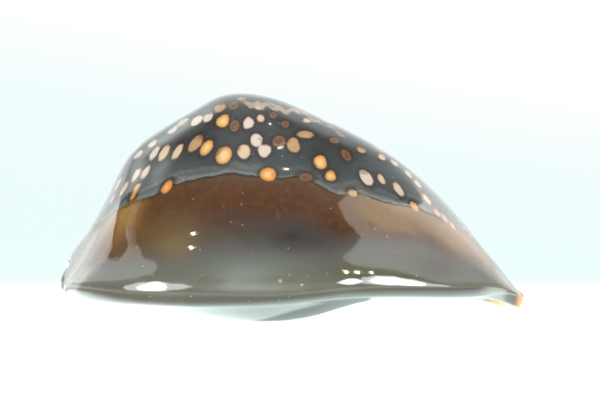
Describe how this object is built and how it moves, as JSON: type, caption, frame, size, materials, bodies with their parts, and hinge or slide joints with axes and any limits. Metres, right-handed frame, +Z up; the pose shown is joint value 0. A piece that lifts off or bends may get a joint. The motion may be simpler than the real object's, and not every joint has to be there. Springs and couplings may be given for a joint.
{
  "type": "humpback cowrie shell",
  "caption": "Glossy humped sea snail shell with thick side margins, a long toothed slit under its base and a notch at each end; it rests on its base.",
  "frame": {"origin": "on the surface it rests on, below the middle of the shell's box", "axes": "+X towards the front (siphon) end, -Y towards the outer lip, +Z up through the hump"},
  "size_m": [0.08, 0.055, 0.0393],
  "materials": {
    "enamel": "high natural gloss; slate-black back with cream and orange spots, brown see-through callus on the sides, dark base"
  },
  "bodies": {
    "root": {"cowrie_shell": "enamel"}
  },
  "joints": []
}
